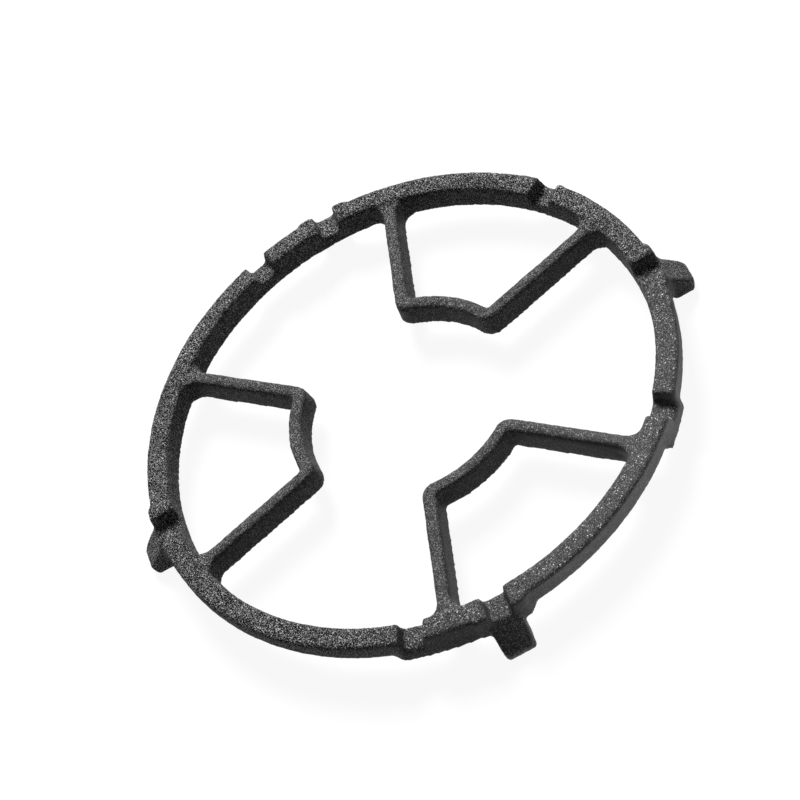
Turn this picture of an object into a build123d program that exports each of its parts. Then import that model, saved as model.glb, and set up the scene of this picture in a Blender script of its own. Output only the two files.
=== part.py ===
from build123d import *
import math
import os

# A hob pan support: one iron casting, modelled lying with its notched face up.
# The ring's axis is Z, the lugs stand on the plane Z = 0 and lie on the X and Y axes.
# Sizes are in millimetres and angles in degrees.

# Ring
ring_radius = 100.4
ring_width = 7.9
ring_depth = 9.1
ring_foot_round = 3.3
ring_foot_facets = 3
wall_draft = 6.5

# Loops that reach in from the ring
loop_count = 3
loop_turn = 47.2
loop_reach_radius = 39.8
loop_arc_width = 4.8
loop_drop = 1.0
loop_stand = 0.6
loop_bed = 0.4
bar_width = 4.7
bar_spread = 60.0
bar_axis_clearance = 1.6
loop_outer_corner = 5.0
loop_inner_corner = 1.5
bar_root_fillet = 6.0

# Notches for the hob's fingers: one set for four fingers, one for five
finger_counts = (4, 5)
shared_notch_angle = 180.0
notch_width = 9.3
notch_depth = 4.5
notch_flare = 1.0
notch_lip = 0.6

# Pads that thicken the outer wall behind each notch and run on towards the Y axis
pad_near_angle = 6.4
pad_near_slope = 15.0
pad_away_angle = 2.7
pad_away_slope = 60.0
pad_face_stand = 0.2
pad_foot_stand = 1.1
pad_join_gap = 10.0

# Lugs at the notches of the first set
lug_pad_angle = 4.8
lug_pad_slope = 50.0
lug_face_stand = 1.3
lug_foot_stand = 1.8
lug_root_width = 12.2
lug_tip_width = 10.8
lug_knee = 0.7
lug_reach = 9.5
lug_slope = 45.5
lug_tip_lean = 16.0
lug_drop = 8.0
lug_heel = 1.0
lug_heel_slope = 58.0
lug_corner = 2.5

# Broken edges of the notched face
edge_break = 0.7

# Worked out from the sizes above
foot_z = lug_drop
face_z = foot_z + ring_depth
notch_floor_z = face_z - notch_depth
loop_top_z = face_z - loop_drop
pan_z = foot_z - loop_stand
ring_inner_radius = ring_radius - ring_width
ring_middle_radius = ring_radius - ring_width / 2.0
ring_foot_radius = ring_inner_radius - ring_depth * math.tan(math.radians(wall_draft))
opening_radius = ring_inner_radius + loop_bed
loop_arc_radius = loop_reach_radius + loop_arc_width
loop_foot_radius = ring_foot_radius + loop_bed / 2.0
lug_knee_radius = ring_radius + lug_knee
lug_tip_radius = ring_radius + lug_reach
lug_heel_radius = ring_radius + lug_heel
cut_margin = 1.0
far_radius = 2.0 * ring_radius


def set_angles(count):
    """Angles of one set of notches, counted from the notch that all sets share."""
    return [(shared_notch_angle + k * 360.0 / count) % 360.0 for k in range(count)]


def notch_angles():
    """Every notch once, in order round the ring."""
    angles = {round(angle, 6) for count in finger_counts for angle in set_angles(count)}
    return sorted(angles)


def pad_ends(angle):
    """The two ends of the pad behind one notch, each as its angle and its splay."""
    # Above 0 where a rising angle leads towards the Y axis, 0 on either axis
    side = round(math.sin(math.radians(2.0 * angle)), 6)
    near = (pad_near_angle, pad_near_slope)
    away = (pad_away_angle, pad_away_slope)
    before = near if side < 0 else away
    after = near if side > 0 else away
    return (angle - before[0], before[1]), (angle + after[0], after[1])


def pad_spans():
    """Both ends of each pad; pads that nearly touch run into one."""
    spans = []
    for angle in notch_angles():
        start, end = pad_ends(angle)
        if spans and start[0] - spans[-1][1][0] < pad_join_gap:
            spans[-1] = (spans[-1][0], end)
        else:
            spans.append((start, end))
    return spans


def polar(radius, angle):
    """The point at a radius and an angle."""
    return Vector(radius * math.cos(math.radians(angle)), radius * math.sin(math.radians(angle)))


def turned(shape, angle):
    """The shape turned about the ring's axis."""
    return Rot(0, 0, angle) * shape


def bar_wedge(axis_distance):
    """A wedge between two bar edges that pass the axis at the given distance."""
    half = math.radians(bar_spread / 2.0)
    apex = axis_distance / math.sin(half)
    far_x = apex + far_radius * math.cos(half)
    far_y = far_radius * math.sin(half)
    return make_face(Polyline((apex, 0), (far_x, -far_y), (far_x, far_y), close=True))


def near_radius(shape, radius):
    """The corners of a flat shape that lie at one radius."""
    return [v for v in shape.vertices() if abs(math.hypot(v.X, v.Y) - radius) < edge_break]


def window_plan():
    """The opening inside one loop, lying on +X."""
    plan = Circle(opening_radius) - Circle(loop_arc_radius)
    plan = plan & bar_wedge(bar_axis_clearance + bar_width)
    plan = fillet(near_radius(plan, loop_arc_radius), loop_inner_corner)
    return fillet(near_radius(plan, opening_radius), bar_root_fillet)


def loop_plan():
    """The outline of one loop without its window, lying on +X."""
    band = Circle(ring_radius) - Circle(loop_reach_radius)
    return band & bar_wedge(bar_axis_clearance)


def centre_plan():
    """The opening between the loops, from the axis out to the ring."""
    plan = Circle(opening_radius)
    for k in range(loop_count):
        plan = plan - turned(loop_plan(), loop_turn + k * 360.0 / loop_count)
    plan = fillet(near_radius(plan, loop_reach_radius), loop_outer_corner)
    return fillet(near_radius(plan, opening_radius), bar_root_fillet)


def drafted_opening(plan):
    """An opening cut down from the top of the loops, with walls that close in towards the pan."""
    face = Pos(0, 0, loop_top_z) * plan
    return extrude(face, amount=loop_top_z - pan_z + cut_margin, dir=(0, 0, -1), taper=wall_draft)


def ring():
    """The plain ring, turned from its section."""
    round_radius = ring_radius - ring_foot_round
    round_z = foot_z + ring_foot_round
    points = [(ring_foot_radius, foot_z)]
    for k in range(ring_foot_facets + 1):
        corner = polar(ring_foot_round, k * 90.0 / ring_foot_facets - 90.0)
        points.append((round_radius + corner.X, round_z + corner.Y))
    points.append((ring_radius, face_z))
    points.append((ring_inner_radius, face_z))
    outline = make_face(Polyline(*points, close=True))
    outline = chamfer(outline.vertices().group_by(Axis.Y)[-1], edge_break)
    return revolve(Plane.XZ * outline, Axis.Z)


def loops():
    """The loops, cut from a disc whose rim is bedded in the ring."""
    bed_z = foot_z + loop_bed
    outline = make_face(Polyline((0, pan_z), (loop_foot_radius, pan_z), (loop_foot_radius, bed_z),
                                 (ring_middle_radius, bed_z), (ring_middle_radius, loop_top_z),
                                 (0, loop_top_z), close=True))
    disc = revolve(Plane.XZ * outline, Axis.Z) - drafted_opening(centre_plan())
    window = drafted_opening(window_plan())
    for k in range(loop_count):
        disc = disc - turned(window, loop_turn + k * 360.0 / loop_count)
    top = disc.faces().sort_by(Axis.Z)[-1]
    return chamfer([e for wire in top.inner_wires() for e in wire.edges()], edge_break)


def pad_block(start, end, face_stand, foot_stand):
    """One pad; each end is an angle and its splay towards the ring."""
    out = ring_radius + foot_stand
    section = make_face(Polyline((ring_middle_radius, pan_z), (out, pan_z),
                                 (ring_radius + face_stand, face_z - edge_break),
                                 (ring_radius + face_stand - edge_break, face_z),
                                 (ring_middle_radius, face_z), close=True))
    sides = []
    for (angle, slope), turn in ((start, 1.0), (end, -1.0)):
        corner = polar(out, angle)
        run = (out - ring_inner_radius) / math.cos(math.radians(slope))
        heel = corner + polar(run, angle + 180.0 + turn * slope)
        sides.append([heel, corner, polar(far_radius, angle)])
    plan = Polyline(*sides[0], *reversed(sides[1]), close=True)
    return revolve(Plane.XZ * section, Axis.Z) & extrude(make_face(plan), amount=face_z)


def notch_cutter():
    """One flared notch along +X, with its floor sloping away at the outer wall."""
    floor_half = notch_width / 2.0 - notch_flare
    rise = notch_depth + cut_margin
    lip_half = floor_half + notch_flare * rise / notch_depth
    section = Polyline((-floor_half, notch_floor_z), (floor_half, notch_floor_z),
                       (lip_half, notch_floor_z + rise), (-lip_half, notch_floor_z + rise),
                       close=True)
    plane = Plane(origin=(loop_arc_radius, 0, 0), x_dir=(0, 1, 0), z_dir=(1, 0, 0))
    channel = extrude(plane * make_face(section), amount=far_radius)
    knee = ring_radius - notch_lip
    fall = (lug_tip_radius - knee) * math.tan(math.radians(lug_slope))
    side = Polyline((knee, notch_floor_z), (lug_tip_radius, notch_floor_z - fall),
                    (lug_tip_radius, face_z), (knee, face_z), close=True)
    return channel + extrude(make_face(Plane.XZ * side), amount=floor_half, both=True)


def lug():
    """One down-turned lug on +X: the notch floor carried outwards and down to the table."""
    slope = math.tan(math.radians(lug_slope))
    tip_z = notch_floor_z - (lug_tip_radius - lug_knee_radius) * slope
    toe = lug_tip_radius - tip_z * math.tan(math.radians(lug_tip_lean))
    heel_rise = face_z / 2.0
    heel_back = heel_rise / math.tan(math.radians(lug_heel_slope))
    root = ring_middle_radius
    side = Polyline((root, notch_floor_z), (lug_knee_radius, notch_floor_z), (lug_tip_radius, tip_z),
                    (toe, 0), (lug_heel_radius, 0), (lug_heel_radius - heel_back, heel_rise),
                    (root, heel_rise), close=True)
    slab = extrude(make_face(Plane.XZ * side), amount=lug_root_width, both=True)
    root_half = lug_root_width / 2.0
    tip_half = lug_tip_width / 2.0
    plan = make_face(Polyline((root, -root_half), (lug_tip_radius, -tip_half),
                              (lug_tip_radius, tip_half), (root, root_half), close=True))
    tips = [v for v in plan.vertices() if v.X > ring_radius]
    plan = fillet(tips, lug_corner)
    return slab & extrude(plan, amount=face_z)


def pan_support():
    """The whole casting."""
    body = ring() + loops()
    for start, end in pad_spans():
        body = body + pad_block(start, end, pad_face_stand, pad_foot_stand)
    for angle in set_angles(finger_counts[0]):
        start = (angle - lug_pad_angle, lug_pad_slope)
        end = (angle + lug_pad_angle, lug_pad_slope)
        body = body + pad_block(start, end, lug_face_stand, lug_foot_stand)
    for angle in notch_angles():
        body = body - turned(notch_cutter(), angle)
    for angle in set_angles(finger_counts[0]):
        body = body + turned(lug(), angle)
    return body


os.makedirs("parts", exist_ok=True)
casting = pan_support()
export_step(casting, "parts/pan_support.step")
print("volume", round(casting.volume), "solids", len(casting.solids()), "faces", len(casting.faces()))
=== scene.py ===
# %% [markdown]
# # A cast-iron hob pan support
#
# The object is a single rough iron casting: a ring with three loops that reach in, notches for the
# hob's fingers, and four lugs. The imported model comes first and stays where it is. It gives the true
# shape and size, and this lesson gives it the skin that a sand mould leaves on iron.

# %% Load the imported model
import math

import bmesh
import bpy
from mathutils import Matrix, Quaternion, Vector


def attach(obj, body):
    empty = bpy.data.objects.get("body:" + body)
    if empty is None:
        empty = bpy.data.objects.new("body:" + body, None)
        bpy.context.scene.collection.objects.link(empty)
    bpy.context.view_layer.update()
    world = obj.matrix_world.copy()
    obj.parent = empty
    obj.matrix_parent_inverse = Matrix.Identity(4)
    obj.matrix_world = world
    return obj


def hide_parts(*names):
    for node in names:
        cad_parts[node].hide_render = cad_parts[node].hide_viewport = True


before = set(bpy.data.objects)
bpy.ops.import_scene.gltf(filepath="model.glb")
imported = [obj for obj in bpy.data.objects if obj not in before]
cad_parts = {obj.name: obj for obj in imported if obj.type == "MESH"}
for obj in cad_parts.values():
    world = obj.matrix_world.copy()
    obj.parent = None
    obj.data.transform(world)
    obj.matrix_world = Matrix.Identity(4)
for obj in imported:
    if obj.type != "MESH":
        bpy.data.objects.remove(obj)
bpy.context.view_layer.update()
cad_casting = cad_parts["pan_support"]
scene = bpy.context.scene
scene.view_settings.view_transform = "Standard"

# %% [markdown]
# ## The camera
#
# The picture shows the ring leaning, as if it stood on its rim. Tilting the part would spoil its
# place in the shared frame, so the camera is rolled instead: it circles the ring at its azimuth and
# elevation, looks at a point near the middle, and then turns about its own line of sight.

# %% Place and roll the camera
LOOK_AT = Vector((-0.0015, -0.0006, 0.0167))
CAMERA_DISTANCE = 0.8526
CAMERA_AZIMUTH = math.radians(-82.643)
CAMERA_ELEVATION = math.radians(48.951)
CAMERA_ROLL = math.radians(-33.635)
CAMERA_LENS = 108.594
LINE_OF_SIGHT = Vector((0.0, 0.0, 1.0))

away = Vector((
    math.cos(CAMERA_ELEVATION) * math.cos(CAMERA_AZIMUTH),
    math.cos(CAMERA_ELEVATION) * math.sin(CAMERA_AZIMUTH),
    math.sin(CAMERA_ELEVATION),
))
camera = bpy.data.objects.new("camera", bpy.data.cameras.new("camera"))
scene.collection.objects.link(camera)
camera.data.lens = CAMERA_LENS
camera.location = LOOK_AT + away * CAMERA_DISTANCE
unrolled = (-away).to_track_quat("-Z", "Y")
camera.rotation_mode = "QUATERNION"
camera.rotation_quaternion = unrolled @ Quaternion(LINE_OF_SIGHT, CAMERA_ROLL)
scene.camera = camera

# %% [markdown]
# ## The casting
#
# Iron poured into sand has no crisp edge anywhere: every corner is a little rounded, walls wander
# by a fraction of a millimetre, and the faces are lumpy with the mark of the sand grains. Edges
# could be bevelled one by one, but a casting is rounded everywhere at once. So a copy of the model
# is merged, remeshed into small even cells and relaxed until its edges soften. A thin coat goes on
# all round, which makes up for what the edges lost, and two cloud patterns push the skin in and
# out: one wide and faint for the wandering walls, one fine for the sand grains.

# %% Copy and merge the model's mesh
MERGE_DISTANCE = 0.000001

rough = bmesh.new()
rough.from_mesh(cad_casting.data)
bmesh.ops.remove_doubles(rough, verts=rough.verts, dist=MERGE_DISTANCE)
casting_mesh = bpy.data.meshes.new("casting")
rough.to_mesh(casting_mesh)
rough.free()
casting = bpy.data.objects.new("casting", casting_mesh)
scene.collection.objects.link(casting)
print("merged copy", len(casting_mesh.vertices), "vertices")

# %% Round the edges, coat them and press in the sand
CELL = 0.00075
RELAX_FACTOR = 0.5
RELAX_ROUNDS = 3
COAT_THICKNESS = 0.00015
WANDER_SIZE = 0.009
WANDER_DEPTH = 0.00025
SAND_SIZE = 0.0016
SAND_DEPTH = 0.00028
CLOUD_LAYERS = 1


def sand_push(name, size, depth):
    """Pushes the skin in and out by a cloud pattern of the given lump size."""
    pattern = bpy.data.textures.new(name, "CLOUDS")
    pattern.noise_scale = size
    pattern.noise_depth = CLOUD_LAYERS
    push = casting.modifiers.new(name, "DISPLACE")
    push.texture = pattern
    push.texture_coords = "LOCAL"
    push.strength = depth


cells = casting.modifiers.new("cells", "REMESH")
cells.mode = "VOXEL"
cells.voxel_size = CELL
relax = casting.modifiers.new("relax", "SMOOTH")
relax.factor = RELAX_FACTOR
relax.iterations = RELAX_ROUNDS
coat = casting.modifiers.new("coat", "DISPLACE")
coat.mid_level = 0.0
coat.strength = COAT_THICKNESS
sand_push("wander", WANDER_SIZE, WANDER_DEPTH)
sand_push("sand", SAND_SIZE, SAND_DEPTH)
worked = casting.evaluated_get(bpy.context.evaluated_depsgraph_get())
skin = bpy.data.meshes.new_from_object(worked)
casting.modifiers.clear()
casting.data = skin
skin.shade_smooth()
skin.calc_loop_triangles()
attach(casting, "root")
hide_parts("pan_support")
print("casting", len(skin.loop_triangles), "triangles")

# %% [markdown]
# ## Writing a finish as sums
#
# A finish is a sum of patterns, and wiring each sum by hand hides what it says. One small class
# holds a socket, so that plus, minus and times on it add the Math nodes, and one method makes any
# other node.

# %% A socket that takes part in sums
# A Mix node repeats its socket names for each kind of data, so numbers pick the colours' own
MIX_SHARE = 0
MIX_FIRST = 6
MIX_SECOND = 7
MIX_RESULT = 2


class Pattern:
    """A value or colour that changes over a surface, held as a node's socket."""

    def __init__(self, tree, socket=None):
        self.tree = tree
        self.socket = socket

    def node(self, kind, settings=None, inputs=None, output=0):
        """Adds a node, sets it up, and gives back one of its outputs."""
        made = self.tree.nodes.new("ShaderNode" + kind)
        for name, value in (settings or {}).items():
            if name == "stops":
                self.set_stops(made.color_ramp, value)
            else:
                setattr(made, name, value)
        for name, value in (inputs or {}).items():
            if isinstance(value, Pattern):
                self.tree.links.new(value.socket, made.inputs[name])
            else:
                made.inputs[name].default_value = value
        return Pattern(self.tree, made.outputs[output])

    def set_stops(self, ramp, stops):
        """Lays out a ramp's stops, each a position and a grey level."""
        while len(ramp.elements) < len(stops):
            ramp.elements.new(1.0)
        for element, (position, level) in zip(ramp.elements, stops):
            element.position = position
            element.color = grey(level)

    def other(self, output):
        """Another output of the node that this pattern comes from."""
        return Pattern(self.tree, self.socket.node.outputs[output])

    def sum(self, operation, first, second):
        """One Math node. Its two inputs share a name, so they go by number."""
        return self.node("Math", {"operation": operation}, {0: first, 1: second})

    def __add__(self, other):
        return self.sum("ADD", self, other)

    def __radd__(self, other):
        return self.sum("ADD", other, self)

    def __sub__(self, other):
        return self.sum("SUBTRACT", self, other)

    def __rsub__(self, other):
        return self.sum("SUBTRACT", other, self)

    def __mul__(self, other):
        return self.sum("MULTIPLY", self, other)

    def __rmul__(self, other):
        return self.sum("MULTIPLY", other, self)

    def __gt__(self, other):
        return self.sum("GREATER_THAN", self, other)

    def rise(self, start, end):
        """Goes smoothly from 0 at the start to 1 at the end."""
        return self.node(
            "MapRange",
            {"interpolation_type": "SMOOTHSTEP"},
            {"Value": self, "From Min": start, "From Max": end},
        )

    def between(self, first, second):
        """Mixes two colours with this value as the share of the second."""
        inputs = {MIX_SHARE: self, MIX_FIRST: first, MIX_SECOND: second}
        return self.node("Mix", {"data_type": "RGBA"}, inputs, output=MIX_RESULT)


def grey(level):
    """A neutral colour of one level."""
    return (level, level, level, 1.0)


print("sums ready")

# %% [markdown]
# ## Cast iron
#
# The iron is a dark neutral grey under a thin coat. Seen close, its skin is a bed of sand grains
# about a sixth of a millimetre wide: most are nearly black, and the brightest few are painted
# highlights, sparkle painted into the colour. The coat ran thicker on one side of the ring and on the
# thin bars of the loops, where it fills the skin and leaves a more even grey. The walls slid out of
# the mould, so they are smoother and duller than the faces, and painted shade makes their colour
# darker. The lugs stand clear of the ring and have the skin of a face all round. A picture of iron
# could be wrapped on, but it would smear on the walls, so the grains are solid cells that run
# through the whole casting, and how bare they lie is read from where a point is and which way it
# faces.

# %% Find the walls, the lugs, the loops and the coated side
# The line across the ring along which the coat thins out
COAT_ALONG = 0.82
COAT_ACROSS = 0.57
COAT_START = -0.105
COAT_END = -0.01
# Distances from the ring's axis
LUG_START = 0.1022
LUG_END = 0.1042
LOOP_END = 0.086
RING_START = 0.094
# How level the skin is: 0 on an upright wall, 1 on a face
WALL_TILT = 0.2
FACE_TILT = 0.6
# Shares of the grain that the coat leaves bare
SIDE_GRAIN = 0.4
COATED_WALL_GRAIN = 0.3
BARE_WALL_GRAIN = 0.85
LOOP_GRAIN = 0.55

iron = bpy.data.materials.new("cast_iron")
iron.use_nodes = True
board = Pattern(iron.node_tree)
place = board.node("TexCoord", output="Object")
across = board.node("SeparateXYZ", inputs={"Vector": place})
along = across.other("Y")
upright = board.node("SeparateXYZ", inputs={"Vector": place.other("Normal")}, output="Z")
level = upright * upright
out = across * across + along * along
bare_side = (COAT_ALONG * along - COAT_ACROSS * across).rise(COAT_START, COAT_END)
on_lug = out.rise(LUG_START * LUG_START, LUG_END * LUG_END)
on_ring = out.rise(LOOP_END * LOOP_END, RING_START * RING_START)
on_wall = (1.0 - on_lug) * (1.0 - level.rise(WALL_TILT, FACE_TILT))
on_face = 1.0 - on_wall
bare = SIDE_GRAIN + (1.0 - SIDE_GRAIN) * bare_side
wall_grain = COATED_WALL_GRAIN + (BARE_WALL_GRAIN - COATED_WALL_GRAIN) * bare_side
bare = bare * (on_face + on_wall * wall_grain)
bare = bare * (LOOP_GRAIN + (1.0 - LOOP_GRAIN) * on_ring)
print("places found", len(iron.node_tree.nodes), "nodes")

# %% Shade the grains, the coat, the painted wall shade and the painted glints
MIDDLE = 0.5
GRAIN_SIZE = 0.00016
# The low stops are the grains' own tone, and the top stops are bright grains painted in as sparkle
# highlights
GRAIN_AND_SPARKLE_SHADES = ((0.0, 0.0), (0.66, 0.006), (0.8, 0.04), (0.89, 0.31), (0.95, 0.9))
CLUMP_SIZE = 0.0045
CLUMP_DETAIL = 2.0
CLUMP_SWING = 0.12
COAT_SHADE = 0.072
LOOP_SHADE = 0.055
# Painted shade: upright walls get a darker colour than the faces
WALL_PAINTED_SHADE = 0.055
GLINT_SIZE = 0.00033
# Painted highlights: near-white glint spots put into the colour of level faces
PAINTED_GLINT_SHADE = 0.85
GLINT_TILT = 0.55
GLINT_LEVEL = 0.9
GLINT_DIM = 0.974
GLINT_FULL = 0.985
LOOP_GLINT = 0.4

grains = board.node("TexVoronoi", inputs={"Vector": place, "Scale": 1.0 / GRAIN_SIZE})
grain_pick = board.node("SeparateColor", inputs={"Color": grains.other("Color")})
clumps = board.node(
    "TexNoise",
    inputs={"Vector": place, "Scale": 1.0 / CLUMP_SIZE, "Detail": CLUMP_DETAIL},
)
grain_shade = grain_pick + CLUMP_SWING * (clumps - MIDDLE)
grain_and_sparkle_colour = board.node("ValToRGB", {"stops": GRAIN_AND_SPARKLE_SHADES}, {"Fac": grain_shade})
face_colour = on_ring.between(grey(LOOP_SHADE), grey(COAT_SHADE))
# Painted shade: the walls take the darker wall colour, and the faces take the coat's grey
coat_and_wall_shade_colour = on_face.between(grey(WALL_PAINTED_SHADE), face_colour)
iron_colour = bare.between(coat_and_wall_shade_colour, grain_and_sparkle_colour)
glint_cells = board.node("TexVoronoi", inputs={"Vector": place, "Scale": 1.0 / GLINT_SIZE})
glint_pick = board.node("SeparateColor", inputs={"Color": glint_cells.other("Color")})
# Painted highlights on level faces only, fewer on the loops
painted_glint = level.rise(GLINT_TILT, GLINT_LEVEL) * glint_pick.rise(GLINT_DIM, GLINT_FULL)
painted_glint = painted_glint * (LOOP_GLINT + (1.0 - LOOP_GLINT) * on_ring)
iron_colour = painted_glint.between(iron_colour, grey(PAINTED_GLINT_SHADE))
print("shades mixed", len(iron.node_tree.nodes), "nodes")

# %% Raise the grains, dull the walls and put the finish on
GRAIN_ROUND = 0.8
BUMP_HEIGHT = 0.00014
BUMP_STRENGTH = 0.8
IRON_SPECULAR = 0.12
IRON_ROUGHNESS = 0.38
BARE_ROUGHNESS = 0.2
WALL_ROUGHNESS = 0.10
GRAIN_SHINE = 0.4

height = bare * (1.0 - grains.rise(0.0, GRAIN_ROUND))
bump = board.node(
    "Bump",
    inputs={"Strength": BUMP_STRENGTH, "Distance": BUMP_HEIGHT, "Height": height},
)
shine = GRAIN_SHINE * on_face * (grain_pick - MIDDLE)
roughness = IRON_ROUGHNESS + BARE_ROUGHNESS * bare + WALL_ROUGHNESS * on_wall - shine
iron_shader = iron.node_tree.nodes["Principled BSDF"]
iron_shader.inputs["Specular IOR Level"].default_value = IRON_SPECULAR
for name, pattern in (("Base Color", iron_colour), ("Roughness", roughness), ("Normal", bump)):
    iron.node_tree.links.new(pattern.socket, iron_shader.inputs[name])
# The model's own mesh, which the casting stands for, wears the same finish
for mesh in (skin, cad_casting.data):
    mesh.materials.clear()
    mesh.materials.append(iron)
print("iron finish", len(iron.node_tree.nodes), "nodes")

# %% [markdown]
# ## Table, world and lamps
#
# The part lies on a plain white table. To the camera the table is a dull surface that the lamps
# light a little, so the part's shadow stays on it, and the rest of its white is its own glow, which
# only the camera and reflections see. To the light that bounces up onto the iron it is a middle
# grey. In that way the background is white without any more light on the iron.
#
# One big softbox hangs behind the ring and lights its face. Its light could never reach the outer
# wall at the near right, so three small lit cards lie on the table there and shine up: the wall
# turns a middle grey, and the broken edge above it, which the cards can't reach, stays as a thin
# dark line.

# %% Lay the table
TABLE_HALF = 8.0
TABLE_SEEN = 0.10
TABLE_BOUNCE = 0.42
TABLE_GLOW = 0.92
TABLE_DULL = {"Specular IOR Level": 0.0, "Roughness": 1.0, "Emission Strength": 1.0}
# Each kind of ray counts as 0 or 1
ANY_RAY = 0.5

table_shape = bmesh.new()
bmesh.ops.create_grid(table_shape, x_segments=1, y_segments=1, size=TABLE_HALF)
table_mesh = bpy.data.meshes.new("table")
table_shape.to_mesh(table_mesh)
table_shape.free()
table = bpy.data.objects.new("table", table_mesh)
scene.collection.objects.link(table)
table_white = bpy.data.materials.new("table_white")
table_white.use_nodes = True
table_shader = table_white.node_tree.nodes["Principled BSDF"]
for name, value in TABLE_DULL.items():
    table_shader.inputs[name].default_value = value
table_board = Pattern(table_white.node_tree)
camera_ray = table_board.node("LightPath", output="Is Camera Ray")
mirror_ray = camera_ray.other("Is Glossy Ray")
glass_ray = camera_ray.other("Is Transmission Ray")
seen = (camera_ray + mirror_ray + glass_ray) > ANY_RAY
table_colour = seen.between(grey(TABLE_BOUNCE), grey(TABLE_SEEN))
table_glow = seen.between(grey(0.0), grey(TABLE_GLOW))
for name, pattern in (("Base Color", table_colour), ("Emission Color", table_glow)):
    table_white.node_tree.links.new(pattern.socket, table_shader.inputs[name])
table_mesh.materials.append(table_white)
print("table laid")

# %% Light the part
WORLD_LEVEL = 0.10
SOFTBOX_SPOT = Vector((0.2, 1.92, 1.80))
SOFTBOX_SIZE = 1.0
SOFTBOX_POWER = 106.0
CARD_ANGLES = (286.0, 306.0, 326.0)
CARD_RADIUS = 0.13
CARD_LIFT = 0.0005
CARD_WIDTH = 0.042
CARD_DEPTH = 0.03
CARD_POWER = 0.0160
QUARTER_TURN = math.pi / 2.0


def area_lamp(name, width, depth, power):
    """A flat lamp that the camera does not see."""
    lamp = bpy.data.objects.new(name, bpy.data.lights.new(name, "AREA"))
    lamp.data.shape = "RECTANGLE"
    lamp.data.size = width
    lamp.data.size_y = depth
    lamp.data.energy = power
    lamp.visible_camera = False
    scene.collection.objects.link(lamp)
    return lamp


world = bpy.data.worlds.new("studio")
world.use_nodes = True
scene.world = world
world_shader = world.node_tree.nodes["Background"]
world_shader.inputs["Color"].default_value = grey(WORLD_LEVEL)
softbox = area_lamp("softbox", SOFTBOX_SIZE, SOFTBOX_SIZE, SOFTBOX_POWER)
softbox.location = SOFTBOX_SPOT
softbox.rotation_mode = "QUATERNION"
softbox.rotation_quaternion = (LOOK_AT - SOFTBOX_SPOT).to_track_quat("-Z", "Y")
for angle in CARD_ANGLES:
    turn = math.radians(angle)
    card = area_lamp("card", CARD_WIDTH, CARD_DEPTH, CARD_POWER)
    card.location = (CARD_RADIUS * math.cos(turn), CARD_RADIUS * math.sin(turn), CARD_LIFT)
    # A half turn about X makes the lamp face up
    card.rotation_euler = (math.pi, 0.0, turn + QUARTER_TURN)
print("softbox and", len(CARD_ANGLES), "cards")
